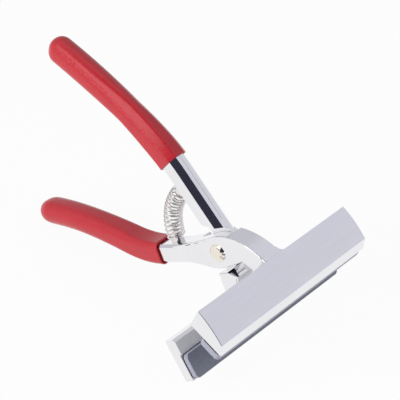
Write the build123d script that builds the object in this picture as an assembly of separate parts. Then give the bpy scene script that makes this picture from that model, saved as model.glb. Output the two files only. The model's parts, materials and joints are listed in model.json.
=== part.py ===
from build123d import *
import math
import os

# Canvas pliers: wide jaws for pulling canvas over a stretcher bar.
#
# Each lever is drawn in side view with the jaws closed: the pivot is at (0, 0), the jaws point
# along -Y, the handles along +Y, and the gripping plane is level. The levers then turn about the
# pivot into the sprung-open rest position, and the whole tool is set down on its fulcrum foot and
# the tip of its lower handle. X runs along the jaws. All lengths are in millimetres.

# Rest position, in degrees below level for each jaw
upper_jaw_angle = 24.5
opening_angle = 28.0
lower_jaw_angle = upper_jaw_angle + opening_angle

# Jaws
jaw_width = 120.0
jaw_reach = 48.5
grip_plane_height = 5.4
closed_pad_gap = 0.3
edge_round = 0.5

# Upper jaw
upper_jaw_depth = 23.0
upper_jaw_rear_height = 13.0
upper_jaw_front_height = 7.0
lip_rake = 2.2
crown_rise = 1.05
neck_flare = 4.0

# Lower jaw
lower_jaw_depth = 24.6
lower_jaw_thickness = 8.2
lower_rear_chamfer = 1.6

# Grip pads
upper_pad_thickness = 5.85
upper_pad_depth = 13.7
lower_pad_thickness = 4.25
lower_pad_depth = 14.6
lower_pad_recess = 1.5
pad_slit = 0.5
pad_setback = 0.3
pad_corner_round = 2.6
pad_edge_round = 0.6

# Fulcrum lug under the lower jaw, and the rib that carries it
lug_width = 20.0
lug_depth = 12.0
lug_height = 14.0
lug_setback = 2.5
lug_foot_width_share = 0.92
lug_foot_depth_share = 0.8
lug_corner_round = 2.0
lug_foot_round = 1.2
rib_drop = 4.8

# Pivot: a half-lap joint. The upper jaw's lever fills the -X half and the lower jaw's the +X half.
lever_width = 13.4
lap_clearance = 0.2
lap_disc_radius = 10.6
lap_room_clearance = 0.6
lap_shoulder_round = 2.2
stop_clearance = 0.3
ear_size = 10.0
ear_edge_round = 1.2
rivet_diameter = 6.0
rivet_running_clearance = 0.05
rivet_head_clearance = 0.1
rivet_head_diameter = 10.4
rivet_head_height = 2.8
rivet_head_edge = 0.5

# Handles: the length that the handles' outline points follow, and the steel shanks
handle_length = 146.0
upper_shank_width = 11.7
upper_shank_depth = 14.3
upper_shank_chamfer = 3.2
lower_shank_depth = 11.2
lower_shank_chamfer = 1.45
tang_end_gap = 2.5

# Vinyl grips
grip_wall = 1.35
grip_corner_round = 5.0
grip_tip_length = 6.6

# Return spring and the pegs that hold it, each seat as far from the pivot as given
spring_outer_diameter = 11.0
spring_wire = 1.1
spring_turns = 13
upper_seat_distance = 39.0
lower_seat_distance = 37.4
spring_end_gap = 0.2
spring_bend_radius = 1.7
end_coil_pitch = 2.0
peg_clearance = 0.8
peg_height = 5.0
peg_round = 1.8
peg_stem_diameter = 4.0
peg_stem_length = 4.5

# Bare shank from the spring to each grip's collar, and from the ears' tail to the lower collar
upper_bare_shank = 10.5
lower_bare_shank = 6.4
tail_bare_shank = 5.3

# One overrun serves every cut, and one overlap every join
overrun = 1.0

# Side-view points of the handles' centre lines, as shares of handle_length
upper_handle_shares = [(0.0096, 0.0303), (0.3151, -0.0288), (0.4377, -0.0644), (0.6678, -0.1795), (0.9267, -0.3562)]
lower_handle_shares = [(0.0822, -0.1164), (0.1966, -0.2637), (0.3493, -0.3945), (0.5664, -0.5301), (0.7486, -0.6788)]

# Side-view points around the pivot, as shares of ear_size
neck_crest_share = (-0.86, 2.0)
ear_top_share = (0.1, 1.4)
ear_back_share = (0.79, 0.53)
ear_low_share = (-0.04, -1.43)
ear_front_share = (-0.80, -0.48)
neck_arch_share = (-1.46, 0.95)
arm_low_share = (-1.15, -0.81)
arm_mid_share = (-1.22, -0.13)
shoulder_top_share = (1.21, 0.94)
shoulder_low_share = (1.87, -0.60)
lap_arm_shares = [(0.0, 0.95), (-0.92, 0.46), (-1.22, -0.13), (-1.45, -0.35)]
lap_arm_shares += [(-1.35, -0.75), (-1.15, -0.81), (0.0, -1.0)]
stop_wall_share = 0.05

# Side-view points of the room that the lower lever's half sweeps beyond the disc, as shares of
# ear_size, apart from the stop wall's place
lap_room_low_shares = [(-1.6, 0.0), (-1.6, -2.0), (-0.2, -2.0), (1.7, -0.7), (2.2, 2.2)]

# Side-view points of the arm: how far each lies from the ears towards the lower jaw's back, as a
# share of that distance, and how high, as a share of ear_size
arm_top_share = (0.34, 0.51)
arm_belly_share = (0.46, -0.97)

# Heights of the sections that close a grip's tip, as shares of grip_tip_length
tip_rise_shares = [0.0, 0.3, 0.6, 0.82, 0.96]

# How far the spring's end tangents reach, as a share of the distance between its seats, and the
# share of a turn or of its line over which its direction is measured
spring_bow_share = 0.37
heading_share = 0.001

# Heights of the gripping faces and of what carries the pads, with the tool closed
upper_pad_low = grip_plane_height + closed_pad_gap / 2
upper_seat = upper_pad_low + upper_pad_thickness
lower_pad_top = grip_plane_height - closed_pad_gap / 2
lower_seat = lower_pad_top - lower_pad_thickness
lower_jaw_top = lower_seat + lower_pad_recess
lower_jaw_low = lower_jaw_top - lower_jaw_thickness
rib_low = lower_jaw_low - rib_drop
upper_jaw_rear = jaw_reach - upper_jaw_depth
lower_jaw_rear = jaw_reach - lower_jaw_depth
lower_step = jaw_reach - pad_setback - lower_pad_depth - pad_slit
half_lever = lever_width / 2
half_lap = lap_clearance / 2
stop_wall = stop_wall_share * ear_size
half_rivet = rivet_diameter / 2
pad_width = jaw_width - 2 * pad_setback
coil_radius = (spring_outer_diameter - spring_wire) / 2
peg_diameter = spring_outer_diameter - 2 * spring_wire - 2 * peg_clearance
upper_collar_distance = upper_seat_distance + spring_outer_diameter / 2 + upper_bare_shank
lower_collar_distance = lower_seat_distance + spring_outer_diameter / 2 + lower_bare_shank
ear_tail_distance = lower_collar_distance - tail_bare_shank


def of_ear(share):
    """A side-view point given as shares of ear_size."""
    return (share[0] * ear_size, share[1] * ear_size)


def between(near, far, share):
    """The place that lies the given share of the way from near to far."""
    return near + (far - near) * share


def side_plate(edges, half_width):
    """A side-view outline, drawn along Y and up Z, made as thick as given on both sides."""
    return extrude(Plane.YZ * make_face(edges), half_width, both=True)


def side_polygon(points, half_width):
    """As side_plate, for an outline with straight edges only."""
    return side_plate(Polyline(*points, close=True).edges(), half_width)


def half_plate(edges, x_high, x_low):
    """A side-view outline made solid between two places on the X axis."""
    return extrude(Plane.YZ.offset(x_low) * make_face(edges), x_high - x_low)


def bar_along_x(radius, x_low, x_high):
    """A round bar on the pivot axis."""
    return extrude(Plane.YZ.offset(x_low) * Circle(radius), x_high - x_low)


def long_edges(solid):
    """The edges of a jaw or pad that run along X."""
    return solid.edges().filter_by(Axis.X)


def handle_path(shares):
    """A handle's centre line: a straight run, then arcs that each keep the last one's direction."""
    points = [Vector(0, y * handle_length, z * handle_length) for y, z in shares]
    edges = [Line(points[0], points[1])]
    for point in points[2:]:
        edges.append(TangentArc(edges[-1] @ 1, point, tangent=edges[-1] % 1))
    return Wire([edge.edge() for edge in edges])


def distance_along(path, radius_from_pivot):
    """The length of path at which it is as far from the pivot as given."""
    low, high = 0.0, path.length
    while high - low > path.length / 10**6:
        middle = (low + high) / 2
        if path.position_at(middle, position_mode=PositionMode.LENGTH).length < radius_from_pivot:
            low = middle
        else:
            high = middle
    return low


def section_plane(path, length):
    """The plane square to a handle's path. Its x axis runs along the jaws and its y axis up."""
    place = path.position_at(length, position_mode=PositionMode.LENGTH)
    heading = path.tangent_at(length, position_mode=PositionMode.LENGTH)
    return Plane(origin=place, x_dir=(-1, 0, 0), z_dir=heading)


def swept_shank(path, width, depth, corner):
    """A steel shank with chamfered corners, from the start of its path to just short of the end."""
    run = path.trim(0, 1 - tang_end_gap / path.length)
    outline = chamfer(Rectangle(width, depth).vertices(), corner)
    return sweep(section_plane(path, 0) * outline, path=run)


def grip_sleeve(path, width, depth, collar_distance):
    """A dipped grip from its collar to its rounded tip, before the tang's space is taken out."""
    start = distance_along(path, collar_distance)
    run = path.trim(start / path.length, 1)
    body = sweep(section_plane(path, start) * RectangleRounded(width, depth, grip_corner_round), path=run)
    tip = section_plane(path, path.length)
    sections = []
    for rise in tip_rise_shares:
        shrink = math.sqrt(1 - rise**2)
        outline = RectangleRounded(width * shrink, depth * shrink, grip_corner_round * shrink)
        sections.append(tip.offset(grip_tip_length * rise) * outline)
    return body + loft(sections)


upper_path = handle_path(upper_handle_shares)
lower_path = handle_path(lower_handle_shares)
upper_shank = swept_shank(upper_path, upper_shank_width, upper_shank_depth, upper_shank_chamfer)
lower_shank = swept_shank(lower_path, lever_width, lower_shank_depth, lower_shank_chamfer)


def upper_jaw_bar():
    """The wide upper jaw: a wedge with a crowned top face and a raked lip."""
    rear_low = (-upper_jaw_rear, upper_seat)
    rear_top = (-upper_jaw_rear, upper_seat + upper_jaw_rear_height)
    front_top = (-jaw_reach + lip_rake, upper_seat + upper_jaw_front_height)
    front_low = (-jaw_reach, upper_seat)
    chord = Vector(*front_top) - Vector(*rear_top)
    middle = (Vector(*front_top) + Vector(*rear_top)) / 2
    crown = middle + Vector(chord.Y, -chord.X).normalized() * crown_rise
    outline = [
        ThreePointArc(rear_top, crown, front_top),
        Line(front_top, front_low),
        Line(front_low, rear_low),
        Line(rear_low, rear_top),
    ]
    bar = side_plate(outline, jaw_width / 2)
    below = [edge for edge in long_edges(bar) if abs(edge.center().Z - upper_seat) < edge_round]
    return fillet([edge for edge in bar.edges() if edge not in below], edge_round)


def neck_root_flare():
    """The neck widening in plan where it meets the back of the upper jaw."""
    rear = -upper_jaw_rear
    tip = rear + neck_flare
    wide = half_lever + neck_flare
    turn = neck_flare * (1 - math.sqrt(0.5))
    outline = [
        Line((-half_lever, tip), (half_lever, tip)),
        ThreePointArc((half_lever, tip), (half_lever + turn, rear + turn), (wide, rear)),
        Line((wide, rear), (wide, rear - overrun)),
        Line((wide, rear - overrun), (-wide, rear - overrun)),
        Line((-wide, rear - overrun), (-wide, rear)),
        ThreePointArc((-wide, rear), (-half_lever - turn, rear + turn), (-half_lever, tip)),
    ]
    low = upper_seat + overrun
    high = upper_seat + upper_jaw_rear_height - overrun
    return extrude(Plane.XY.offset(low) * make_face(outline), high - low)


def upper_lever_plate():
    """The neck, the plate around the pivot and the root of the lower handle."""
    root_top = (-upper_jaw_rear - overrun, upper_seat + upper_jaw_rear_height - edge_round)
    root_low = (-upper_jaw_rear - overrun, upper_seat + edge_round)
    ear_top, ear_back = of_ear(ear_top_share), of_ear(ear_back_share)
    ear_low, ear_front = of_ear(ear_low_share), of_ear(ear_front_share)
    arch, crest = of_ear(neck_arch_share), of_ear(neck_crest_share)
    tail = section_plane(lower_path, distance_along(lower_path, ear_tail_distance))
    flat = tail.y_dir * (lower_shank_depth / 2 - lower_shank_chamfer)
    tail_top = ((tail.origin + flat).Y, (tail.origin + flat).Z)
    tail_low = ((tail.origin - flat).Y, (tail.origin - flat).Z)
    front = Line(arch, ear_front)
    nose = TangentArc(ear_front, ear_low, tangent=front % 1)
    top = ThreePointArc(root_top, crest, ear_top)
    shoulder = TangentArc(ear_top, ear_back, tangent=top % 1)
    outline = [
        top,
        shoulder,
        TangentArc(ear_back, tail_top, tangent=shoulder % 1),
        Line(tail_top, tail_low),
        TangentArc(ear_low, tail_low, tangent=nose % 1),
        nose,
        front,
        Line(arch, root_low),
        Line(root_low, root_top),
    ]
    plate = side_plate(outline, half_lever)
    return rounded_rim(plate, half_lever, -upper_jaw_rear, tail.origin.Y - ear_size / 2)


def rounded_rim(plate, half_width, y_low, y_high):
    """Both rims of a side plate rounded, but not where its ends run into other metal."""
    rims = [edge for edge in plate.edges() if abs(abs(edge.center().X) - half_width) < overrun / 10]
    open_rims = [edge for edge in rims if y_low < edge.center().Y < y_high]
    return fillet(open_rims, ear_edge_round)


def lap_room():
    """What the upper lever leaves free on the +X side: the disc's room and the room beyond it."""
    corners = [(stop_wall, 2 * lap_disc_radius), (stop_wall, 0)]
    corners += [of_ear(share) for share in lap_room_low_shares]
    beyond = half_plate(Polyline(*corners, close=True).edges(), half_lever + overrun, -half_lap)
    return beyond + bar_along_x(lap_disc_radius + lap_room_clearance, -half_lap, half_lever + overrun)


def make_upper_jaw_lever():
    """The upper jaw, its neck and half of the pivot, and the lower handle's shank: one casting."""
    lever = upper_jaw_bar() + upper_lever_plate() + neck_root_flare() + lower_shank
    lever -= lap_room()
    lever -= bar_along_x(half_rivet, -half_lever - overrun, half_lever + overrun)
    return lever - peg_stem_at(lower_path, lower_seat_distance, lower_shank_depth, 1)


def lower_jaw_bar():
    """The lower jaw: a flat bar with a recess for its pad along the front."""
    points = [
        (-lower_jaw_rear, lower_jaw_low),
        (-lower_jaw_rear, lower_jaw_top - lower_rear_chamfer),
        (-lower_jaw_rear - lower_rear_chamfer, lower_jaw_top),
        (-lower_step, lower_jaw_top),
        (-lower_step, lower_seat),
        (-jaw_reach, lower_seat),
        (-jaw_reach, lower_jaw_low),
    ]
    bar = side_polygon(points, jaw_width / 2)
    low_edges = [edge for edge in bar.edges() if edge.center().Z < lower_jaw_low + edge_round]
    return fillet(low_edges, edge_round)


def make_lug():
    """The fulcrum lug: a tapered block with a flat foot that the stretcher bar takes."""
    middle = -jaw_reach + lug_setback + lug_depth / 2
    root = Plane.XY.offset(lower_jaw_low + overrun) * Pos(0, middle)
    foot = Plane.XY.offset(lower_jaw_low - lug_height) * Pos(0, middle)
    foot_width, foot_depth = lug_width * lug_foot_width_share, lug_depth * lug_foot_depth_share
    sections = [
        root * RectangleRounded(lug_width, lug_depth, lug_corner_round),
        foot * RectangleRounded(foot_width, foot_depth, lug_corner_round),
    ]
    lug = loft(sections)
    return fillet(lug.faces().sort_by(Axis.Z)[0].edges(), lug_foot_round)


def make_arm():
    """The arm from the tongue to the lower jaw, and the rib under the jaw to the lug."""
    middle = -jaw_reach + lug_setback + lug_depth / 2
    arm_low, arm_mid = of_ear(arm_low_share), of_ear(arm_mid_share)
    points = [
        arm_low,
        arm_mid,
        (between(arm_mid[0], -lower_jaw_rear, arm_top_share[0]), arm_top_share[1] * ear_size),
        (-lower_jaw_rear, lower_jaw_top - lower_rear_chamfer),
        (-lower_jaw_rear - overrun, lower_jaw_low + overrun),
        (middle, lower_jaw_low + overrun),
        (middle, rib_low),
        (-lower_jaw_rear, rib_low),
        (between(arm_low[0], -lower_jaw_rear, arm_belly_share[0]), arm_belly_share[1] * ear_size),
    ]
    arm = side_polygon(points, half_lever)
    return rounded_rim(arm, half_lever, -lower_jaw_rear - overrun / 2, 0)


def shank_half_shoulder():
    """What the upper shank loses on the -X side, where the other lever's half turns."""
    top, low = of_ear(shoulder_top_share), of_ear(shoulder_low_share)
    slope = (top[0] - low[0]) / (top[1] - low[1])
    reach = upper_shank_depth
    notch = [
        (low[0] + slope * (-reach - low[1]), -reach),
        (low[0] + slope * (reach - low[1]), reach),
        (-reach, reach),
        (-reach, -reach),
    ]
    cutter = half_plate(Polyline(*notch, close=True).edges(), half_lap, -upper_shank_width)
    inner = [edge for edge in cutter.edges() if abs(edge.center().X - half_lap) < lap_clearance]
    shoulder_edge = max(inner, key=lambda edge: edge.center().Y)
    return fillet(shoulder_edge, lap_shoulder_round)


def shank_end_stop():
    """What the upper shank loses on the +X side, up to the stop wall with the tool open."""
    reach = 2 * upper_shank_depth
    wall = stop_wall + stop_clearance
    corners = [Vector(0, wall, reach), Vector(0, wall, -reach), Vector(0, -reach, -reach), Vector(0, -reach, reach)]
    points = [corner.rotate(Axis.X, -opening_angle) for corner in corners]
    edges = Polyline(*[(point.Y, point.Z) for point in points], close=True).edges()
    return half_plate(edges, upper_shank_width, half_lap - overrun)


def make_lap_half():
    """The lower lever's half of the pivot: a disc around the rivet and its link to the arm."""
    disc = bar_along_x(lap_disc_radius, half_lap, half_lever)
    link = Polyline(*[of_ear(share) for share in lap_arm_shares], close=True).edges()
    return disc + half_plate(link, half_lever, half_lap)


def make_lower_jaw_lever():
    """The lower jaw, its lug, arm and half of the pivot, and the upper handle's shank: one casting."""
    shank = upper_shank - shank_half_shoulder() - shank_end_stop()
    lever = lower_jaw_bar() + make_arm() + make_lug() + shank + make_lap_half()
    lever -= bar_along_x(half_rivet + rivet_running_clearance, -half_lever, half_lever + overrun)
    return lever - peg_stem_at(upper_path, upper_seat_distance, upper_shank_depth, -1)


def seat_plane(path, distance, depth, side):
    """The plane of a spring seat on a shank's face: z points out of the metal, x along the jaws."""
    square = section_plane(path, distance_along(path, distance))
    outward = square.y_dir * side
    return Plane(origin=square.origin + outward * depth / 2, x_dir=(1, 0, 0), z_dir=outward)


def peg_stem_at(path, distance, depth, side):
    """The peg's stem inside the shank, also used to cut its hole."""
    seat = seat_plane(path, distance, depth, side)
    return extrude(seat * Circle(peg_stem_diameter / 2), -peg_stem_length)


def make_peg(path, distance, depth, side):
    """A spring peg with a rounded top, its stem pressed into the shank."""
    seat = seat_plane(path, distance, depth, side)
    head = extrude(seat * Circle(peg_diameter / 2), peg_height)
    head = fillet(head.edges().filter_by(GeomType.CIRCLE).sort_by_distance(seat.offset(peg_height).origin)[0], peg_round)
    return head + peg_stem_at(path, distance, depth, side)


def rivet_head(seat, side):
    """The side-view edges of a domed head, from the shaft to the dome's top."""
    head = rivet_head_diameter / 2
    edge = seat + rivet_head_edge
    rise = rivet_head_height - rivet_head_edge
    dome_radius = (head**2 + rise**2) / (2 * rise)
    lean = math.atan2(head, dome_radius - rise) / 2
    dome_x = edge + rise - dome_radius + dome_radius * math.cos(lean)
    dome_y = dome_radius * math.sin(lean)
    return [
        Line((side * seat, half_rivet), (side * seat, head)),
        Line((side * seat, head), (side * edge, head)),
        ThreePointArc((side * edge, head), (side * dome_x, dome_y), (side * (edge + rise), 0)),
    ]


def make_rivet():
    """The pivot rivet. Its -X head holds the upper lever, and the other lever turns under its +X head."""
    far_seat = half_lever + rivet_head_clearance
    top = half_lever + rivet_head_height
    far_top = far_seat + rivet_head_height
    shaft = Line((-half_lever, half_rivet), (far_seat, half_rivet))
    axis = Line((-top, 0), (far_top, 0))
    return revolve(make_face(rivet_head(half_lever, -1) + [shaft, axis] + rivet_head(far_seat, 1)), Axis.X)


def make_pad(front, depth, low, thickness, free_side):
    """A gripping pad with rounded plan corners and softened edges on its gripping face."""
    outline = Plane.XY.offset(low) * Pos(0, -front + depth / 2) * RectangleRounded(pad_width, depth, pad_corner_round)
    pad = extrude(outline, thickness)
    return fillet(pad.faces().sort_by(Axis.Z)[free_side].edges(), pad_edge_round)


def make_grip(path, shank, width, depth, collar_distance):
    """A grip with the shank's space taken out of it, so that it fits the shank all over."""
    sleeve = grip_sleeve(path, width + 2 * grip_wall, depth + 2 * grip_wall, collar_distance)
    return sleeve - shank


def turned(place, angle):
    """A closed-frame point or direction after the levers turn about the pivot."""
    return place.rotate(Axis.X, angle)


def spring_centre_line(share, lower, upper, out_lower, out_upper):
    """A point of the spring's bowed centre line, square to its seat at both ends."""
    reach = (upper - lower).length * spring_bow_share
    points = [lower, lower + out_lower * reach, upper + out_upper * reach, upper]
    rest = 1 - share
    weights = [rest**3, 3 * rest**2 * share, 3 * rest * share**2, share**3]
    return sum((point * weight for point, weight in zip(points, weights)), Vector())


def biarc(start, end, start_heading, end_heading):
    """Two arcs that join start to end and keep the direction at both."""
    gap = end - start
    both = start_heading + end_heading
    against = 2 * (1 - start_heading.dot(end_heading))
    along = gap.dot(both)
    reach = (math.sqrt(along**2 + against * gap.dot(gap)) - along) / against
    corner = start + start_heading * reach
    far_corner = end - end_heading * reach
    joint = (corner + far_corner) / 2
    first = Edge.make_tangent_arc(start, start_heading, joint)
    second = Edge.make_tangent_arc(joint, (far_corner - corner).normalized(), end)
    return [first, second]


def coil_shares(length):
    """The share of the centre line reached at each quarter turn, with closer coils at both ends."""
    quarters = spring_turns * 4
    first = (spring_end_gap + spring_wire + spring_bend_radius) / length
    slow = end_coil_pitch / length / 4
    steps = []
    for count in range(quarters):
        near_end = min(count, quarters - 1 - count) / 4
        steps.append(min(1, near_end / 2))
    spare = 1 - 2 * first - slow * quarters
    weight = spare / sum(steps)
    shares = [first]
    for step in steps:
        shares.append(shares[-1] + slow + weight * step)
    return shares


def make_spring(lower_seat_plane, upper_seat_plane):
    """The return spring: one round wire wound along a bowed line, its ends turned in to the seats."""
    lower, upper = lower_seat_plane.origin, upper_seat_plane.origin
    out_lower, out_upper = lower_seat_plane.z_dir, upper_seat_plane.z_dir
    line = [spring_centre_line(count / 400, lower, upper, out_lower, out_upper) for count in range(401)]
    length = sum((b - a).length for a, b in zip(line, line[1:]))
    ends = (lower, upper, out_lower, out_upper)
    across = Vector(1, 0, 0)

    def wound(share, turn):
        centre = spring_centre_line(share, *ends)
        ahead = spring_centre_line(share + heading_share, *ends)
        behind = spring_centre_line(share - heading_share, *ends)
        inward = (ahead - behind).normalized().cross(across)
        angle = 2 * math.pi * turn
        return centre + across * (coil_radius * math.cos(angle)) + inward * (coil_radius * math.sin(angle))

    shares = coil_shares(length)
    lead = spring_bend_radius / coil_radius / (2 * math.pi)
    first_turn = 1 / 4 + lead
    turns = [first_turn + count / 4 for count in range(len(shares))]
    points = [wound(share, turn) for share, turn in zip(shares, turns)]
    headings = []
    for count, (share, turn) in enumerate(zip(shares, turns)):
        before = shares[max(count - 1, 0)]
        after = shares[min(count + 1, len(shares) - 1)]
        rate = (after - before) / (min(count + 1, len(shares) - 1) - max(count - 1, 0)) * 4
        ahead = wound(share + rate * heading_share, turn + heading_share)
        behind = wound(share - rate * heading_share, turn - heading_share)
        headings.append((ahead - behind).normalized())

    lower_angle = 2 * math.pi * (turns[0] - lead)
    upper_angle = 2 * math.pi * (turns[-1] + lead)
    foot = seat_point(lower, out_lower.cross(across), across, lower_angle)
    top = seat_point(upper, (-out_upper).cross(across), across, upper_angle)
    foot_end = foot + out_lower * spring_end_gap
    foot_bend = foot + out_lower * (spring_end_gap + spring_wire)
    top_end = top + out_upper * spring_end_gap
    top_bend = top + out_upper * (spring_end_gap + spring_wire)
    edges = [Edge.make_line(foot_end, foot_bend)]
    edges += biarc(foot_bend, points[0], out_lower, headings[0])
    for count in range(len(points) - 1):
        edges += biarc(points[count], points[count + 1], headings[count], headings[count + 1])
    edges += biarc(points[-1], top_bend, headings[-1], -out_upper)
    edges.append(Edge.make_line(top_bend, top_end))
    wire = Wire(edges)
    section = Plane(origin=foot_end, z_dir=out_lower) * Circle(spring_wire / 2)
    report_spring_gap(edges)
    return sweep(section, path=wire)


def seat_point(seat, inward, across, angle):
    """The point on a seat that the wire's end stands over."""
    return seat + across * (coil_radius * math.cos(angle)) + inward * (coil_radius * math.sin(angle))


def report_spring_gap(edges):
    """Print the least gap between the spring's coils and the tightest bend of its wire."""
    samples = []
    reached = 0.0
    for edge in edges:
        for count in range(12):
            samples.append((reached + edge.length * count / 12, edge @ (count / 12)))
        reached += edge.length
    least = spring_outer_diameter
    for count, (here, point) in enumerate(samples):
        for there, other in samples[count + 1:]:
            if there - here > 4 * spring_wire:
                least = min(least, (other - point).length)
    tightest = min(edge.radius for edge in edges if edge.geom_type == GeomType.CIRCLE)
    print("spring: least gap between coils", round(least - spring_wire, 3), "mm")
    print("spring: tightest bend radius", round(tightest, 3), "mm, wire length", round(reached, 1), "mm")


def lowest(shape, tilt):
    """How high the lowest point of a shape is after the tilt."""
    return shape.rotate(Axis.X, tilt).bounding_box().min.Z


def standing_tilt(foot, tip):
    """The turn about X, in degrees, that brings the foot and the handle's tip down to one level."""
    angles = [0.0, 1.0]
    steps = [lowest(tip, angle) - lowest(foot, angle) for angle in angles]
    for _ in range(6):
        slope = (steps[-1] - steps[-2]) / (angles[-1] - angles[-2])
        if slope == 0 or steps[-1] == 0:
            break
        angles.append(angles[-1] - steps[-1] / slope)
        steps.append(lowest(tip, angles[-1]) - lowest(foot, angles[-1]))
    return angles[-1]


lower_grip_size = (lever_width, lower_shank_depth)
upper_grip_size = (upper_shank_width, upper_shank_depth)

upper_jaw_body = {
    "upper_jaw_lever": make_upper_jaw_lever(),
    "lower_handle_grip": make_grip(lower_path, lower_shank, *lower_grip_size, lower_collar_distance),
    "upper_jaw_pad": make_pad(jaw_reach - pad_setback, upper_pad_depth, upper_pad_low, upper_pad_thickness, 0),
    "pivot_rivet": make_rivet(),
    "lower_spring_peg": make_peg(lower_path, lower_seat_distance, lower_shank_depth, 1),
}
lower_jaw_body = {
    "lower_jaw_lever": make_lower_jaw_lever(),
    "upper_handle_grip": make_grip(upper_path, upper_shank, *upper_grip_size, upper_collar_distance),
    "lower_jaw_pad": make_pad(jaw_reach - pad_setback, lower_pad_depth, lower_seat, lower_pad_thickness, -1),
    "upper_spring_peg": make_peg(upper_path, upper_seat_distance, upper_shank_depth, -1),
}

parts = {}
for name, shape in upper_jaw_body.items():
    parts[name] = shape.rotate(Axis.X, upper_jaw_angle)
for name, shape in lower_jaw_body.items():
    parts[name] = shape.rotate(Axis.X, lower_jaw_angle)


def seat_at_rest(seat, angle):
    """A spring seat's plane carried from the closed frame into the rest position."""
    return Plane(origin=turned(seat.origin, angle), x_dir=seat.x_dir, z_dir=turned(seat.z_dir, angle))


lower_seat_rest = seat_at_rest(seat_plane(lower_path, lower_seat_distance, lower_shank_depth, 1), upper_jaw_angle)
upper_seat_rest = seat_at_rest(seat_plane(upper_path, upper_seat_distance, upper_shank_depth, -1), lower_jaw_angle)
parts["return_spring"] = make_spring(lower_seat_rest, upper_seat_rest)

# Set the tool down level: the foot and the lower handle's tip on the ground, the box centred
tilt = standing_tilt(make_lug().rotate(Axis.X, lower_jaw_angle), parts["lower_handle_grip"])
parts = {name: shape.rotate(Axis.X, tilt) for name, shape in parts.items()}
boxes = [shape.bounding_box() for shape in parts.values()]
middle_x = (min(box.min.X for box in boxes) + max(box.max.X for box in boxes)) / 2
middle_y = (min(box.min.Y for box in boxes) + max(box.max.Y for box in boxes)) / 2
ground = min(box.min.Z for box in boxes)
shift = Vector(-middle_x, -middle_y, -ground)
print("standing tilt", round(tilt, 4), "degrees")
print("pivot at", tuple(round(value, 4) for value in shift))

os.makedirs("parts", exist_ok=True)
for name, shape in parts.items():
    placed = shape.translate(shift)
    placed.label = name
    export_step(placed, f"parts/{name}.step")
    print(name, len(placed.solids()), "solid,", round(placed.volume, 1), "mm3")
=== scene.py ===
import json
import math

import bmesh
import bpy
from mathutils import Matrix, Vector


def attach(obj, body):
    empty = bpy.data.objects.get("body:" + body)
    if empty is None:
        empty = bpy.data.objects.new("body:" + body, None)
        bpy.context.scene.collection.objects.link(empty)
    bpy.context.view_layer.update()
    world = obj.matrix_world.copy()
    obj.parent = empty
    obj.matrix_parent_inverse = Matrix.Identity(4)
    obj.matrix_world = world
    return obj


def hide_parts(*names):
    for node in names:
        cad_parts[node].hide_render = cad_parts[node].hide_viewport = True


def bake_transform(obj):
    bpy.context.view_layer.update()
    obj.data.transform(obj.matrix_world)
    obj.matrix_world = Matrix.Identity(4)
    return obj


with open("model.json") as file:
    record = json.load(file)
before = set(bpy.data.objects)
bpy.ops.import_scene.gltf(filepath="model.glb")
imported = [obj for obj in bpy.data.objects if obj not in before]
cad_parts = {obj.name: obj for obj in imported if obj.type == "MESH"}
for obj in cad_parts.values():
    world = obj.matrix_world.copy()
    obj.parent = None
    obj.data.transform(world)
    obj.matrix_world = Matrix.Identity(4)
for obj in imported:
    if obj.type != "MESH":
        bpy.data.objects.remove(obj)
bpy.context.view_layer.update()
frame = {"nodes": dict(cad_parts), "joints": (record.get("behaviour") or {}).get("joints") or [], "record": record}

# The pliers' own frame: millimetres, the pivot at the origin and the jaws closed and level, with the
# jaws along -Y and the handles along +Y. Each lever turns about the pivot into its rest position.
MM = 0.001
ACROSS = Vector((1, 0, 0))
PIVOT = Vector(frame["joints"][0]["pos_m"])
OPENING = -math.radians(frame["joints"][0]["range_deg"][0])
FOOT_AXIS = frame["record"]["mounts"][0]["axis"]
LOWER_JAW_TURN = math.atan2(FOOT_AXIS[1], -FOOT_AXIS[2])
UPPER_JAW_TURN = LOWER_JAW_TURN - OPENING
UPPER_JAW_ANGLE = math.radians(24.5)
STAND_TILT = UPPER_JAW_TURN - UPPER_JAW_ANGLE
SET_UPPER_JAW = Matrix.Translation(PIVOT) @ Matrix.Rotation(UPPER_JAW_TURN, 4, "X") @ Matrix.Scale(MM, 4)
SET_LOWER_JAW = Matrix.Translation(PIVOT) @ Matrix.Rotation(LOWER_JAW_TURN, 4, "X") @ Matrix.Scale(MM, 4)

# Sizes of the jaws and their pads in millimetres, as in the CAD model
JAW_WIDTH = 120.0
JAW_REACH = 48.5
GRIP_PLANE = 5.4
PAD_GAP = 0.3
UPPER_PAD_THICKNESS = 5.85
UPPER_PAD_DEPTH = 13.7
LOWER_PAD_THICKNESS = 4.25
LOWER_PAD_DEPTH = 14.6
PAD_SETBACK = 0.3
PAD_CORNER = 2.6
PAD_SOFT = 0.6
PAD_CORNER_STEPS = 6
PAD_SOFT_STEPS = 5
# The line of painted shade where each pad meets its jaw: how wide it is and how far it is drawn in
SHADE_LINE_WIDTH = 1.2
SHADE_LINE_INSET = 0.15

# Sizes of the shanks and their grips
HANDLE_LENGTH = 146.0
LEVER_WIDTH = 13.4
LOWER_SHANK_DEPTH = 11.2
UPPER_SHANK_WIDTH = 11.7
UPPER_SHANK_DEPTH = 14.3
UPPER_COLLAR_DISTANCE = 55.0
LOWER_COLLAR_DISTANCE = 49.3
GRIP_WALL = 1.35
GRIP_TIP = 6.4
# Each grip's bevel, its corners' rounding, how much it swells, how far its middle rises with that and
# how long before the tip its end begins to narrow
UPPER_GRIP_FORM = (2.6, 6.7, 0.0, 0.0, 1.0)
LOWER_GRIP_FORM = (0.9, 6.4, 0.7, 0.7, 5.0)
# The body of a grip starts at the end of its lip, with the rounding that the collar has
COLLAR_DEPTH = 6.0
COLLAR_SOFT = 2.4
LIP_LENGTH = 0.45
BODY_PROUD = 1.38
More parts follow.
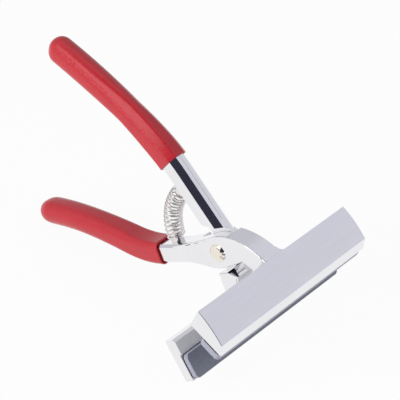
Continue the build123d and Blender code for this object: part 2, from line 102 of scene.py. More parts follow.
# The rings of the collar's rolled lip: how far along the grip, how far proud of the shank, how rounded
COLLAR_LIP = [
    (COLLAR_DEPTH, 0.05, 0.3),
    (0.25, 0.25, 0.5),
    (0.0, 0.45, 0.8),
    (0.0, 1.0, 1.4),
    (0.12, 1.25, 2.0),
    (LIP_LENGTH, BODY_PROUD, 2.3),
]
SWELL_RATE = 1.15
SOFTENING_RATE = 1.3
SOFTENING_DELAY = 0.05
BODY_STEPS = 64
TIP_STEPS = 14
TIP_SPAN = 14.4
CORNER_STEPS = 5
LEAST_CORE = 0.01
BEVEL_ROOM = 0.9

# Sizes of the return spring
SPRING_DIAMETER = 11.0
SPRING_WIRE = 1.1
SPRING_TURNS = 13
SPRING_END_GAP = 0.2
SPRING_BEND = 1.7
SPRING_BOW = 0.37
UPPER_SEAT_DISTANCE = 39.0
LOWER_SEAT_DISTANCE = 37.4
END_COIL_PITCH = 2.0
CLOSER_QUARTERS = 8
COIL_RADIUS = (SPRING_DIAMETER - SPRING_WIRE) / 2
COIL_LEAD = SPRING_BEND / COIL_RADIUS / (2 * math.pi)
SPRING_LINE_STEPS = 400
HEADING_SHARE = 0.002
QUARTER_POINTS = 6
WIRE_SIDES = 10

# Sizes of the mould's parting seam
SEAM_START = 13.0
SEAM_RADIUS = 0.24
SEAM_SUNK = 0.12
SEAM_TAPER = 2
SEAM_TIP = 0.3
SEAM_STEPS = 24
SEAM_SIDES = 12

# Side-view points of the handles' centre lines, as shares of the handle length
UPPER_HANDLE = [
    (0.0096, 0.0303),
    (0.3151, -0.0288),
    (0.4377, -0.0644),
    (0.6678, -0.1795),
    (0.9267, -0.3562),
]
LOWER_HANDLE = [
    (0.0822, -0.1164),
    (0.1966, -0.2637),
    (0.3493, -0.3945),
    (0.5664, -0.5301),
    (0.7486, -0.6788),
]
ARC_STEPS = 40
STRAIGHT_LEAN = 1e-6

# Colours and roughnesses, each as a lower and a higher value
POLISHED = ((0.81, 0.81, 0.83), (0.87, 0.87, 0.89))
POLISHED_ROUGHNESS = (0.05, 0.11)
SATIN = ((0.80, 0.80, 0.83), (0.84, 0.84, 0.87))
SATIN_FACING = (0.78, 0.9)
SATIN_SPREAD = 0.03
VINYL = ((0.46, 0.012, 0.022), (0.54, 0.018, 0.030))
VINYL_ROUGHNESS = (0.22, 0.30)
NICKEL = ((0.82, 0.74, 0.64), (0.90, 0.83, 0.74))
NICKEL_ROUGHNESS = (0.08, 0.14)
WIRE = ((0.74, 0.72, 0.70), (0.84, 0.82, 0.80))
WIRE_ROUGHNESS = (0.12, 0.22)
# Painted shade: the near-black of the recessed line where a pad meets its jaw
GAP_SHADE_COLOURS = ((0.02, 0.02, 0.025), (0.04, 0.04, 0.05))
GAP_SHADE_ROUGHNESS = (0.5, 0.7)
# Painted light and shade on the pads: lighter sides for the light they catch, a darker gripping face for the shade
# it lies in
PAD_SIDES_PAINTED_LIGHT = ((0.34, 0.35, 0.43), (0.40, 0.41, 0.50))
PAD_FACE_PAINTED_SHADE = ((0.19, 0.20, 0.265), (0.245, 0.26, 0.33))
PAD_SHADE_FACING = (0.75, 0.95)
PAD_ROUGHNESS = (0.38, 0.5)

# How fine the patterns are, in cycles per metre, and how deep the relief is, in metres
CLOUD_SCALE = 60.0
GLOSS_SCALE = 180.0
STROKE_SCALE = 1600.0
STROKE_STRETCH = (0.04, 1.0, 1.0)
RELIEF_SCALE = 90.0
RELIEF_DEPTH = 0.0003
PLAIN_SCALE = 120.0
GAP_SHADE_SCALE = 400.0
PAD_SCALE = 300.0
PAD_GRAIN_SCALE = 900.0
PAD_GRAIN_DEPTH = 0.0001

# The photograph's camera, measured about the pivot before the tool is set down
CAMERA_AZIMUTH = math.radians(-48.04)
CAMERA_ELEVATION = math.radians(36.35)
CAMERA_DISTANCE = 833.3 * MM
FOCAL_PIXELS = 1532.0
PHOTO_PIXELS = 400.0
PIVOT_PIXEL = (225.9, 247.6)
SENSOR_WIDTH = 36.0
NEAR_CLIP = 0.05
FAR_CLIP = 20.0

# The studio
ROOM_STRENGTH = 0.42
FLOOR_SIZE = 6.0
FLOOR_DROP = -0.0002
FLOOR_SHADE = 0.9
FLOOR_SHOWN = 0.94
LAMP_AIM = Vector((0, 0, 0.04))
CARD_ROWS = 20
CARD_COLUMNS = 36
CARD_RIM = 0.12
DARK_CARD = (0.035, 0.035, 0.055)
GREY_CARD = (0.73, 0.73, 0.80)
REAR_CARD = (0.62, 0.62, 0.66)
BRIGHT_CARD = (3.2, 3.2, 3.2)


def material(name):
    """A new material with its shader: (material, node tree, Principled shader)."""
    made = bpy.data.materials.new(name)
    made.use_nodes = True
    tree = made.node_tree
    return made, tree, tree.nodes["Principled BSDF"]


def node(tree, kind, **settings):
    """A shader node with its attributes or input values set."""
    made = tree.nodes.new(kind)
    for key, value in settings.items():
        if key in made.inputs:
            made.inputs[key].default_value = value
        else:
            setattr(made, key, value)
    return made


def object_noise(tree, scale, detail=4.0, stretch=(1, 1, 1)):
    """Noise in the object's own coordinates, in cycles per metre."""
    place = node(tree, "ShaderNodeTexCoord")
    mapping = node(tree, "ShaderNodeMapping", Scale=stretch)
    noise = node(tree, "ShaderNodeTexNoise", Scale=scale, Detail=detail)
    tree.links.new(place.outputs["Object"], mapping.inputs["Vector"])
    tree.links.new(mapping.outputs["Vector"], noise.inputs["Vector"])
    return noise.outputs["Fac"]


def as_colour(shade):
    """A colour with its alpha, from a colour or a grey."""
    return (*shade, 1) if isinstance(shade, tuple) else (shade, shade, shade, 1)


def ramp(tree, value, low, high, start=0.0, end=1.0):
    """A grey or colour ramp of a value."""
    made = node(tree, "ShaderNodeValToRGB")
    first, last = made.color_ramp.elements
    first.position, last.position = start, end
    first.color, last.color = as_colour(low), as_colour(high)
    tree.links.new(value, made.inputs["Fac"])
    return made.outputs["Color"]


def bump(tree, shader, height, strength, distance):
    """Relief on a shader, from a height."""
    made = node(tree, "ShaderNodeBump", Strength=strength, Distance=distance)
    tree.links.new(height, made.inputs["Height"])
    tree.links.new(made.outputs["Normal"], shader.inputs["Normal"])


def soft_relief(tree, shader, strength):
    """The faint waves of a finished surface."""
    bump(tree, shader, object_noise(tree, RELIEF_SCALE, 2.0), strength, RELIEF_DEPTH)


def mixed(tree, share, first, second):
    """A blend of two colours or values by a share."""
    made = node(tree, "ShaderNodeMix", data_type="RGBA")
    tree.links.new(share, made.inputs["Factor"])
    tree.links.new(first, made.inputs["A"])
    tree.links.new(second, made.inputs["B"])
    return made.outputs["Result"]


def facing(tree, direction, start, end):
    """A share that rises to 1 where the surface faces a direction of the object."""
    place = node(tree, "ShaderNodeTexCoord")
    dot = node(tree, "ShaderNodeVectorMath", operation="DOT_PRODUCT")
    dot.inputs[1].default_value = direction
    tree.links.new(place.outputs["Normal"], dot.inputs[0])
    return ramp(tree, dot.outputs["Value"], 0.0, 1.0, start, end)


def ahead_of(tree, start, end):
    """A share that falls from 1 to 0 as the object's Y goes from start to end, in metres."""
    place = node(tree, "ShaderNodeTexCoord")
    parts = node(tree, "ShaderNodeSeparateXYZ")
    tree.links.new(place.outputs["Object"], parts.inputs[0])
    span = node(tree, "ShaderNodeMapRange")
    span.inputs["From Min"].default_value = start
    span.inputs["From Max"].default_value = end
    span.inputs["To Min"].default_value = 1.0
    span.inputs["To Max"].default_value = 0.0
    tree.links.new(parts.outputs["Y"], span.inputs["Value"])
    return span.outputs["Result"]


def satin_share(tree, turn, first, last):
    """A share that is 1 where a face looks up from a jaw turned so, up to a line across the tool."""
    both = node(tree, "ShaderNodeMath", operation="MULTIPLY")
    up = (0.0, -math.sin(turn), math.cos(turn))
    tree.links.new(facing(tree, up, *SATIN_FACING), both.inputs[0])
    tree.links.new(ahead_of(tree, first, last), both.inputs[1])
    return both.outputs[0]


def chrome(name, turn, first, last, rough, metal):
    """Polished chrome, brushed to satin on top: rough and metal are those of the satin part."""
    made, tree, shader = material(name)
    share = satin_share(tree, turn, first, last)
    strokes = object_noise(tree, STROKE_SCALE, 3.0, STROKE_STRETCH)
    polished = ramp(tree, object_noise(tree, CLOUD_SCALE), *POLISHED)
    satin = ramp(tree, strokes, *SATIN, 0.3, 0.7)
    tree.links.new(mixed(tree, share, polished, satin), shader.inputs["Base Color"])
    gloss = ramp(tree, object_noise(tree, GLOSS_SCALE), *POLISHED_ROUGHNESS)
    dull = ramp(tree, strokes, rough - SATIN_SPREAD, rough + SATIN_SPREAD)
    tree.links.new(mixed(tree, share, gloss, dull), shader.inputs["Roughness"])
    tree.links.new(ramp(tree, share, 1.0, metal), shader.inputs["Metallic"])
    soft_relief(tree, shader, 0.08)
    return made


def plain(name, colours, roughness, metallic=0.0, scale=PLAIN_SCALE, relief=0.1):
    """A finish of one colour that is slightly cloudy."""
    made, tree, shader = material(name)
    shader.inputs["Metallic"].default_value = metallic
    tree.links.new(ramp(tree, object_noise(tree, scale), *colours), shader.inputs["Base Color"])
    tree.links.new(ramp(tree, object_noise(tree, scale * 3), *roughness), shader.inputs["Roughness"])
    if relief:
        soft_relief(tree, shader, relief)
    return made


def pad_rubber(name, up):
    """Slate rubber with painted light and shade: the gripping face is painted darker as shade and the sides
    lighter as painted light.
    """
    made, tree, shader = material(name)
    grain = object_noise(tree, PAD_SCALE)
    sides = ramp(tree, grain, *PAD_SIDES_PAINTED_LIGHT)
    shaded_face = ramp(tree, grain, *PAD_FACE_PAINTED_SHADE)
    # Painted light and shade: the gripping face takes the darker, shaded colour and the sides the lighter, lit one
    colour = mixed(tree, facing(tree, up, *PAD_SHADE_FACING), sides, shaded_face)
    tree.links.new(colour, shader.inputs["Base Color"])
    tree.links.new(ramp(tree, grain, *PAD_ROUGHNESS), shader.inputs["Roughness"])
    bump(tree, shader, object_noise(tree, PAD_GRAIN_SCALE), 0.1, PAD_GRAIN_DEPTH)
    return made


def mesh_piece(name, rings, place, finish, smooth_angle=35.0):
    """A closed mesh lofted through rings of points, with a flat cap at both ends."""
    mesh = bpy.data.meshes.new(name)
    shape = bmesh.new()
    loops = [[shape.verts.new(place @ Vector(point)) for point in ring] for ring in rings]
    for ring, following in zip(loops, loops[1:]):
        count = len(ring)
        for index in range(count):
            after = (index + 1) % count
            shape.faces.new((ring[index], ring[after], following[after], following[index]))
    shape.faces.new(loops[0][::-1])
    shape.faces.new(loops[-1])
    bmesh.ops.recalc_face_normals(shape, faces=shape.faces)
    for face in shape.faces:
        face.smooth = True
    shape.to_mesh(mesh)
    shape.free()
    mesh.set_sharp_from_angle(angle=math.radians(smooth_angle))
    mesh.materials.append(finish)
    piece = bpy.data.objects.new(name, mesh)
    bpy.context.scene.collection.objects.link(piece)
    return piece


def fitted(piece, body, replaced):
    """Has a piece ride on its body in place of a CAD node, which it hides."""
    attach(piece, body)
    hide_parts(replaced)


def smooth_step(share):
    """An even rise from 0 to 1 as share does, level at both ends."""
    share = min(1.0, max(0.0, share))
    return share * share * (3 - 2 * share)


def arc_from(start, heading, end):
    """Points and headings of the arc that leaves start along heading and reaches end."""
    chord = end - start
    lean = math.atan2(heading.x * chord.y - heading.y * chord.x, heading.dot(chord))
    found = []
    for count in range(1, ARC_STEPS + 1):
        half = lean * count / ARC_STEPS
        length = chord.length * count / ARC_STEPS
        if abs(lean) > STRAIGHT_LEAN:
            length = chord.length * math.sin(half) / math.sin(lean)
        along = Matrix.Rotation(half, 2) @ heading
        found.append((start + along * length, Matrix.Rotation(2 * half, 2) @ heading))
    return found


def handle_line(shares):
    """A handle's centre line in side view, as (point, heading) pairs: a straight run, then arcs."""
    points = [Vector(share) * HANDLE_LENGTH for share in shares]
    heading = (points[1] - points[0]).normalized()
    straight = range(ARC_STEPS + 1)
    line = [(points[0].lerp(points[1], count / ARC_STEPS), heading) for count in straight]
    for end in points[2:]:
        line += arc_from(line[-1][0], line[-1][1], end)
    return line


def line_lengths(line):
    """The length along a line at each of its points."""
    lengths = [0.0]
    for (before, _), (after, _) in zip(line, line[1:]):
        lengths.append(lengths[-1] + (after - before).length)
    return lengths


def at_length(line, lengths, wanted):
    """The point and heading at a length along a line."""
    for count in range(1, len(line)):
        if lengths[count] >= wanted or count == len(line) - 1:
            share = (wanted - lengths[count - 1]) / (lengths[count] - lengths[count - 1])
            point = line[count - 1][0].lerp(line[count][0], share)
            heading = line[count - 1][1].lerp(line[count][1], share).normalized()
            return point, heading


def length_at_distance(line, lengths, distance):
    """The length along a line where it is as far from the pivot as given."""
    for count in range(1, len(line)):
        near, far = line[count - 1][0].length, line[count][0].length
        if near <= distance <= far:
            share = (distance - near) / (far - near)
            return lengths[count - 1] + (lengths[count] - lengths[count - 1]) * share
    raise ValueError("the line doesn't reach that distance")


def lifted(point, heading, rise):
    """A point of a side-view line moved square to it, away from the jaws' closing side."""
    return Vector((point.x - heading.y * rise, point.y + heading.x * rise))


def across_line(point, heading, across, rise):
    """A point in space, so far across the tool and so far up from a point of a side-view line."""
    return (across, point.x - heading.y * rise, point.y + heading.x * rise)


def section(point, heading, half_width, half_depth, bevel, rounding):
    """A section square to a side-view line: a bevelled rectangle with rounded corners."""
    core_x = max(half_width - rounding, LEAST_CORE)
    core_y = max(half_depth - rounding, LEAST_CORE)
    cut = min(bevel, core_x * BEVEL_ROOM, core_y * BEVEL_ROOM)
    corners = []
    for turn, (x, y) in enumerate(((1, 1), (-1, 1), (-1, -1), (1, -1))):
        first, second = (x * core_x, y * (core_y - cut)), (x * (core_x - cut), y * core_y)
        corners += [first, second] if turn % 2 == 0 else [second, first]
    ring = []
    for index, (x, y) in enumerate(corners):
        middle = math.pi / 8 + index * math.pi / 4
        for step in range(CORNER_STEPS + 1):
            angle = middle + math.pi / 4 * (step / CORNER_STEPS - 0.5)
            across, rise = x + rounding * math.cos(angle), y + rounding * math.sin(angle)
            ring.append(across_line(point, heading, across, rise))
    return ring


def lip_rings(line, lengths, start, half_width, half_depth, bevel):
    """The rolled lip at a grip's collar, from inside the collar to its outer face."""
    rings = []
    for inward, proud, rounding in COLLAR_LIP:
        point, heading = at_length(line, lengths, start + inward)
        rings.append(section(point, heading, half_width + proud, half_depth + proud, bevel, rounding))
    return rings


def tip_rings(point, heading, half_x, half_y, bevel, rounding, length):
    """The domed end of a grip, from its full section to a small flat."""
    rings = []
    for count in range(1, TIP_STEPS + 1):
        angle = math.pi / 2 * count / TIP_SPAN
        shrink = math.cos(angle)
        centre = point + heading * length * math.sin(angle)
        rings.append(section(
            centre, heading, half_x * shrink, half_y * shrink, bevel * shrink, rounding * shrink))
    return rings


def make_grip(name, shares, width, depth, collar_distance, form, place, finish):
    """A dipped vinyl grip: an open collar round the shank, a swelling body and a domed tip."""
    bevel, soft, swell, lift, taper = form
    line = handle_line(shares)
    lengths = line_lengths(line)
    start = length_at_distance(line, lengths, collar_distance)
    end = lengths[-1] - taper
    half_width, half_depth = width / 2, depth / 2
    rings = lip_rings(line, lengths, start, half_width, half_depth, bevel)
    for count in range(1, BODY_STEPS + 1):
        share = count / BODY_STEPS
        point, heading = at_length(line, lengths, start + LIP_LENGTH + (end - start - LIP_LENGTH) * share)
        fuller = smooth_step(share * SWELL_RATE)
        proud = BODY_PROUD + swell * fuller
        softer = smooth_step(share * SOFTENING_RATE - SOFTENING_DELAY)
        rounding = COLLAR_SOFT + (soft - COLLAR_SOFT) * softer
        point = lifted(point, heading, lift * fuller)
        rings.append(section(point, heading, half_width + proud, half_depth + proud, bevel, rounding))
    point, heading = at_length(line, lengths, end)
    point = lifted(point, heading, lift)
    half_x, half_y = half_width + GRIP_WALL + swell, half_depth + GRIP_WALL + swell
    rings += tip_rings(point, heading, half_x, half_y, bevel, soft, taper + GRIP_TIP)
    return mesh_piece(name, rings, place, finish, smooth_angle=50.0)


def make_grips():
    """Both grips, in the same red vinyl."""
    vinyl = plain("grip_vinyl", VINYL, VINYL_ROUGHNESS, relief=0.0)
    upper_grip = make_grip("upper_grip", UPPER_HANDLE, UPPER_SHANK_WIDTH, UPPER_SHANK_DEPTH,
                           UPPER_COLLAR_DISTANCE, UPPER_GRIP_FORM, SET_LOWER_JAW, vinyl)
    fitted(upper_grip, "lower_jaw_body", "upper_handle_grip")
    lower_grip = make_grip("lower_grip", LOWER_HANDLE, LEVER_WIDTH, LOWER_SHANK_DEPTH,
                           LOWER_COLLAR_DISTANCE, LOWER_GRIP_FORM, SET_UPPER_JAW, vinyl)
    fitted(lower_grip, "upper_jaw_body", "lower_handle_grip")


def pad_ring(front, depth, height, inset):
    """A pad's plan outline with rounded corners, drawn in by inset."""
    half_x = JAW_WIDTH / 2 - PAD_SETBACK - inset
    half_y = depth / 2 - inset
    radius = PAD_CORNER - inset
    ring = []
    for corner_x, corner_y, turn in ((1, 1, 0), (-1, 1, 1), (-1, -1, 2), (1, -1, 3)):
        for step in range(PAD_CORNER_STEPS + 1):
            angle = math.pi / 2 * (turn + step / PAD_CORNER_STEPS)
            ring.append((
                corner_x * (half_x - radius) + radius * math.cos(angle),
                -front + depth / 2 + corner_y * (half_y - radius) + radius * math.sin(angle),
                height,
            ))
    return ring


def make_pad(name, depth, back, face, place, finish, gap_shade):
    """A rubber gripping pad, from the recessed line at its back, painted dark as shade, to its softened gripping
    face.
    """
    side = math.copysign(1, face - back)
    front = JAW_REACH - PAD_SETBACK
    shade_line_end = back + side * SHADE_LINE_WIDTH
    rings = [
        pad_ring(front, depth, back, SHADE_LINE_INSET),
        pad_ring(front, depth, shade_line_end, SHADE_LINE_INSET),
        pad_ring(front, depth, shade_line_end, 0.0),
    ]
    for step in range(PAD_SOFT_STEPS + 1):
        angle = math.pi / 2 * step / PAD_SOFT_STEPS
        drop = side * PAD_SOFT * (1 - math.sin(angle))
        rings.append(pad_ring(front, depth, face - drop, PAD_SOFT * (1 - math.cos(angle))))
    pad = mesh_piece(name, rings, place, finish)
    pad.data.materials.append(gap_shade)
    # The first band of faces is painted near-black as the shade of the recess
    for gap_shade_face in pad.data.polygons[:len(rings[0])]:
        gap_shade_face.material_index = 1
    return pad


def make_pads():
    """Both gripping pads, with painted shade in the recessed line at their backs, where they meet the jaws."""
    gap_shade = plain("pad_gap_shade", GAP_SHADE_COLOURS, GAP_SHADE_ROUGHNESS, scale=GAP_SHADE_SCALE)
    upper_face = GRIP_PLANE + PAD_GAP / 2
    down = (0.0, math.sin(UPPER_JAW_TURN), -math.cos(UPPER_JAW_TURN))
    upper_rubber = pad_rubber("upper_pad_rubber", down)
    upper_pad = make_pad("upper_pad", UPPER_PAD_DEPTH, upper_face + UPPER_PAD_THICKNESS, upper_face,
                         SET_UPPER_JAW, upper_rubber, gap_shade)
    fitted(upper_pad, "upper_jaw_body", "upper_jaw_pad")
    lower_face = GRIP_PLANE - PAD_GAP / 2
    up = (0.0, -math.sin(LOWER_JAW_TURN), math.cos(LOWER_JAW_TURN))
    lower_rubber = pad_rubber("lower_pad_rubber", up)
    lower_pad = make_pad("lower_pad", LOWER_PAD_DEPTH, lower_face - LOWER_PAD_THICKNESS, lower_face,
                         SET_LOWER_JAW, lower_rubber, gap_shade)
    fitted(lower_pad, "lower_jaw_body", "lower_jaw_pad")


def seat(shares, distance, depth, side, turn):
    """A spring seat at rest, in millimetres from the pivot: (origin, outward direction)."""
    line = handle_line(shares)
    lengths = line_lengths(line)
    point, heading = at_length(line, lengths, length_at_distance(line, lengths, distance))
    outward = Vector((0, -heading.y, heading.x)) * side
    origin = Vector((0, point.x, point.y)) + outward * depth / 2
    spin = Matrix.Rotation(turn, 3, "X")
    return spin @ origin, spin @ outward


def spring_centre(share, lower, upper, out_lower, out_upper):
    """A point of the spring's bowed centre line, which leaves both seats squarely."""
    reach = (upper - lower).length * SPRING_BOW
    rest = 1 - share
    return (lower * rest**3 + (lower + out_lower * reach) * 3 * rest**2 * share
            + (upper + out_upper * reach) * 3 * rest * share**2 + upper * share**3)


def quarter_shares(length):
    """Where each quarter turn ends along the spring's line: closer together near its ends."""
    first = (SPRING_END_GAP + SPRING_WIRE + SPRING_BEND) / length
    quarters = SPRING_TURNS * 4
    slow = END_COIL_PITCH / length / 4
    steps = [min(1, min(count, quarters - 1 - count) / CLOSER_QUARTERS) for count in range(quarters)]
    weight = (1 - 2 * first - slow * quarters) / sum(steps)
    shares = [first]
    for step in steps:
        shares.append(shares[-1] + slow + weight * step)
    return shares


def coil_points(shares, ends):
    """Points along the turns of the spring."""
    quarters = len(shares) - 1
    points = []
    for count in range(quarters * QUARTER_POINTS + 1):
        place = count / QUARTER_POINTS
        index = min(int(place), quarters - 1)
        share = shares[index] + (shares[index + 1] - shares[index]) * (place - index)
        after = spring_centre(share + HEADING_SHARE, *ends)
        before = spring_centre(share - HEADING_SHARE, *ends)
        inward = (after - before).normalized().cross(ACROSS)
        angle = 2 * math.pi * (1 / 4 + COIL_LEAD + place / 4)
        around = ACROSS * math.cos(angle) + inward * math.sin(angle)
        points.append(spring_centre(share, *ends) + around * COIL_RADIUS)
    return points


def wire_end(origin, outward, heading, turn):
    """The wire's straight end over a seat, from the seat outwards."""
    angle = 2 * math.pi * turn
    around = ACROSS * math.cos(angle) + heading.cross(ACROSS) * math.sin(angle)
    foot = origin + around * COIL_RADIUS
    return [foot + outward * SPRING_END_GAP, foot + outward * (SPRING_END_GAP + SPRING_WIRE)]


def tube(points, radius, sides):
    """Rings of a round wire that follows points without twisting."""
    angles = [2 * math.pi * side / sides for side in range(sides)]
    rings = []
    across = None
    for count, point in enumerate(points):
        ahead = points[min(count + 1, len(points) - 1)]
        behind = points[max(count - 1, 0)]
        heading = (ahead - behind).normalized()
        if across is None:
            across = heading.orthogonal().normalized()
        across = (across - heading * across.dot(heading)).normalized()
        other = heading.cross(across)
        rings.append([
            point + (across * math.cos(angle) + other * math.sin(angle)) * radius for angle in angles
        ])
    return rings


def make_spring(finish):
    """The return spring: one wire wound along a bowed line between the two seats."""
    lower, out_lower = seat(LOWER_HANDLE, LOWER_SEAT_DISTANCE, LOWER_SHANK_DEPTH, 1, UPPER_JAW_TURN)
    upper, out_upper = seat(UPPER_HANDLE, UPPER_SEAT_DISTANCE, UPPER_SHANK_DEPTH, -1, LOWER_JAW_TURN)
    ends = (lower, upper, out_lower, out_upper)
    line = [spring_centre(count / SPRING_LINE_STEPS, *ends) for count in range(SPRING_LINE_STEPS + 1)]
    length = sum((after - before).length for before, after in zip(line, line[1:]))
    shares = quarter_shares(length)
    top_turn = 1 / 4 + 2 * COIL_LEAD + SPRING_TURNS
    points = wire_end(lower, out_lower, out_lower, 1 / 4)
    points += coil_points(shares, ends)
    points += wire_end(upper, out_upper, -out_upper, top_turn)[::-1]
    place = Matrix.Translation(PIVOT) @ Matrix.Scale(MM, 4)
    rings = tube(points, SPRING_WIRE / 2, WIRE_SIDES)
    piece = mesh_piece("return_spring_wire", rings, place, finish, smooth_angle=60.0)
    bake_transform(piece)
    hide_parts("return_spring")


def make_parting_seam(finish):
    """The fine raised line that the casting's mould left along the upper handle's shank."""
    line = handle_line(UPPER_HANDLE)
    lengths = line_lengths(line)
    first = length_at_distance(line, lengths, SEAM_START)
    last = length_at_distance(line, lengths, UPPER_COLLAR_DISTANCE + 1)
    middle = UPPER_SHANK_DEPTH / 2 - SEAM_SUNK
    rings = []
    for count in range(SEAM_STEPS + 1):
        point, heading = at_length(line, lengths, first + (last - first) * count / SEAM_STEPS)
        width = SEAM_RADIUS * smooth_step((count + SEAM_TIP) / SEAM_TAPER)
        ring = []
        for side in range(SEAM_SIDES):
            angle = 2 * math.pi * side / SEAM_SIDES
            across, rise = width * math.cos(angle), middle + width * math.sin(angle)
            ring.append(across_line(point, heading, across, rise))
        rings.append(ring)
    piece = mesh_piece("parting_seam", rings, SET_LOWER_JAW, finish)
    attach(piece, "lower_jaw_body")


def dress(name, finish):
    """Puts a finish on a CAD node that keeps its mesh."""
    mesh = frame["nodes"][name].data
    mesh.materials.clear()
    mesh.materials.append(finish)


def make_pieces():
    """Every visible part of the tool."""
    upper_metal = chrome("chrome_upper", UPPER_JAW_TURN, PIVOT.y + 0.004, PIVOT.y + 0.012, 0.3, 1.0)
    lower_metal = chrome("chrome_lower", LOWER_JAW_TURN, PIVOT.y - 0.012, PIVOT.y - 0.008, 0.5, 0.3)
    nickel = plain("rivet_nickel", NICKEL, NICKEL_ROUGHNESS, 1.0, relief=0.03)
    wire = plain("spring_wire", WIRE, WIRE_ROUGHNESS, 1.0)
    dress("upper_jaw_lever", upper_metal)
    dress("lower_jaw_lever", lower_metal)
    dress("pivot_rivet", nickel)
    dress("lower_spring_peg", wire)
    dress("upper_spring_peg", wire)
    make_grips()
    make_pads()
    make_spring(wire)
    make_parting_seam(lower_metal)


def make_camera():
    """The photograph's camera, carried with the tool as it is set down on its foot."""
    level = math.cos(CAMERA_ELEVATION)
    right = Vector((math.cos(CAMERA_AZIMUTH), math.sin(CAMERA_AZIMUTH), 0))
    back = Vector((
        math.sin(CAMERA_AZIMUTH) * level, -math.cos(CAMERA_AZIMUTH) * level, math.sin(CAMERA_ELEVATION)))
    up = back.cross(right)
    across = (PIVOT_PIXEL[0] - PHOTO_PIXELS / 2) / FOCAL_PIXELS * CAMERA_DISTANCE
    rise = -(PIVOT_PIXEL[1] - PHOTO_PIXELS / 2) / FOCAL_PIXELS * CAMERA_DISTANCE
    place = back * CAMERA_DISTANCE - right * across - up * rise
    turn = Matrix((right, up, back)).transposed().to_4x4()
    data = bpy.data.cameras.new("photo_camera")
    data.sensor_width = SENSOR_WIDTH
    data.lens = SENSOR_WIDTH * FOCAL_PIXELS / PHOTO_PIXELS
    data.clip_start, data.clip_end = NEAR_CLIP, FAR_CLIP
    camera = bpy.data.objects.new("photo_camera", data)
    bpy.context.scene.collection.objects.link(camera)
    tilt = Matrix.Rotation(STAND_TILT, 4, "X")
    camera.matrix_world = Matrix.Translation(PIVOT) @ tilt @ Matrix.Translation(place) @ turn
    bpy.context.scene.camera = camera


def area_light(name, place, size, power):
    """A round lamp aimed at the tool. Polished metal doesn't mirror it: it mirrors the cards."""
    data = bpy.data.lights.new(name, "AREA")
    data.shape = "DISK"
    data.size = size
    data.energy = power
    lamp = bpy.data.objects.new(name, data)
    bpy.context.scene.collection.objects.link(lamp)
    lamp.location = place
    lamp.visible_glossy = False
    lamp.rotation_mode = "QUATERNION"
    lamp.rotation_quaternion = (LAMP_AIM - Vector(place)).to_track_quat("-Z", "Y")


def shown_rays(tree):
    """1 for the rays that show the background: the camera's, glossy ones and transmitted ones."""
    rays = node(tree, "ShaderNodeLightPath")
    first = node(tree, "ShaderNodeMath", operation="MAXIMUM")
    both = node(tree, "ShaderNodeMath", operation="MAXIMUM")
    tree.links.new(rays.outputs["Is Camera Ray"], first.inputs[0])
    tree.links.new(rays.outputs["Is Glossy Ray"], first.inputs[1])
    tree.links.new(first.outputs[0], both.inputs[0])
    tree.links.new(rays.outputs["Is Transmission Ray"], both.inputs[1])
    return both.outputs[0]


def blended_output(tree, share, first, second, output):
    """Sends a mix of two shaders to an output: the second one as far as share says."""
    mix = node(tree, "ShaderNodeMixShader")
    tree.links.new(share, mix.inputs["Fac"])
    tree.links.new(first.outputs[0], mix.inputs[1])
    tree.links.new(second.outputs[0], mix.inputs[2])
    tree.links.new(mix.outputs[0], output.inputs["Surface"])


def card_mesh(name, azimuths, elevations, distance):
    """A patch of a large sphere, with how fully it covers, which fades out at its rim."""
    mesh = bpy.data.meshes.new(name)
    shape = bmesh.new()
    cover = shape.verts.layers.float.new("cover")
    rows = []
    for row in range(CARD_ROWS + 1):
        row_share = row / CARD_ROWS
        elevation = math.radians(elevations[0] + (elevations[1] - elevations[0]) * row_share)
        level = math.cos(elevation) * distance
        line = []
        for column in range(CARD_COLUMNS + 1):
            share = column / CARD_COLUMNS
            azimuth = math.radians(azimuths[0] + (azimuths[1] - azimuths[0]) * share)
            vertex = shape.verts.new((
                level * math.cos(azimuth), level * math.sin(azimuth), distance * math.sin(elevation)))
            rim = min(row_share, 1 - row_share, share, 1 - share)
            vertex[cover] = smooth_step(rim / CARD_RIM)
            line.append(vertex)
        rows.append(line)
    for lower, upper in zip(rows, rows[1:]):
        for column in range(CARD_COLUMNS):
            shape.faces.new((lower[column], lower[column + 1], upper[column + 1], upper[column]))
    shape.to_mesh(mesh)
    shape.free()
    return mesh


def card_glow(name, shade):
    """An even glow that is clear where its card doesn't cover."""
    made, tree, shader = material(name)
    tree.nodes.remove(shader)
    glow = node(tree, "ShaderNodeEmission", Color=(*shade, 1), Strength=1.0)
    clear = node(tree, "ShaderNodeBsdfTransparent")
    stored = node(tree, "ShaderNodeAttribute", attribute_name="cover")
    blended_output(tree, stored.outputs["Fac"], clear, glow, tree.nodes["Material Output"])
    return made


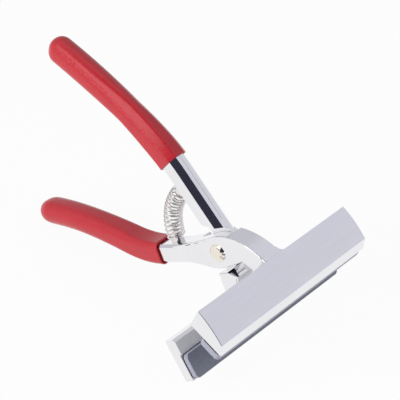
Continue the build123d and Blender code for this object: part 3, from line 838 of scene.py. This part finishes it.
def backdrop_card(name, azimuths, elevations, shade, distance):
    """A soft-edged card far round the tool that only reflections see."""
    mesh = card_mesh(name, azimuths, elevations, distance)
    mesh.materials.append(card_glow(name, shade))
    card = bpy.data.objects.new(name, mesh)
    bpy.context.scene.collection.objects.link(card)
    card.visible_camera = False
    card.visible_diffuse = False
    card.visible_shadow = False


def make_room():
    """An even soft light from all round, which the camera and reflections see as white."""
    world = bpy.data.worlds.new("studio")
    bpy.context.scene.world = world
    world.use_nodes = True
    tree = world.node_tree
    soft = tree.nodes["Background"]
    soft.inputs["Color"].default_value = (1, 1, 1, 1)
    soft.inputs["Strength"].default_value = ROOM_STRENGTH
    seen = node(tree, "ShaderNodeBackground", Color=(1, 1, 1, 1), Strength=1.0)
    blended_output(tree, shown_rays(tree), soft, seen, tree.nodes["World Output"])


def make_floor():
    """A pale floor that nearly matches the room's white and still takes a soft shadow."""
    bpy.ops.mesh.primitive_plane_add(size=FLOOR_SIZE, location=(0, 0, FLOOR_DROP))
    floor = bpy.context.object
    floor.name = "floor"
    made, tree, shader = material("floor")
    shader.inputs["Base Color"].default_value = (FLOOR_SHADE, FLOOR_SHADE, FLOOR_SHADE, 1)
    shader.inputs["Roughness"].default_value = 0.9
    glow = node(tree, "ShaderNodeEmission", Color=(1, 1, 1, 1), Strength=1.0)
    share = node(tree, "ShaderNodeMath", operation="MULTIPLY")
    share.inputs[1].default_value = FLOOR_SHOWN
    tree.links.new(shown_rays(tree), share.inputs[0])
    blended_output(tree, share.outputs[0], shader, glow, tree.nodes["Material Output"])
    floor.data.materials.append(made)


def make_stage():
    """The floor, the soft light and the cards that give the chrome its reflections."""
    make_room()
    make_floor()
    area_light("key", (-1.05, 0.25, 0.5), 0.6, 9.0)
    area_light("fill", (0.2, -0.9, 0.9), 0.8, 2.0)
    backdrop_card("strip_light", (-212, -166), (36, 55), BRIGHT_CARD, 1.5)
    backdrop_card("dark_high", (-215, -92), (26, 86), DARK_CARD, 1.55)
    backdrop_card("dark_low", (-170, -92), (8, 40), DARK_CARD, 1.6)
    backdrop_card("grey_side", (-98, 32), (2, 86), GREY_CARD, 1.65)
    backdrop_card("rear_side", (15, 120), (2, 70), REAR_CARD, 1.7)


make_camera()
make_pieces()
make_stage()
bpy.context.scene.view_settings.view_transform = "Standard"
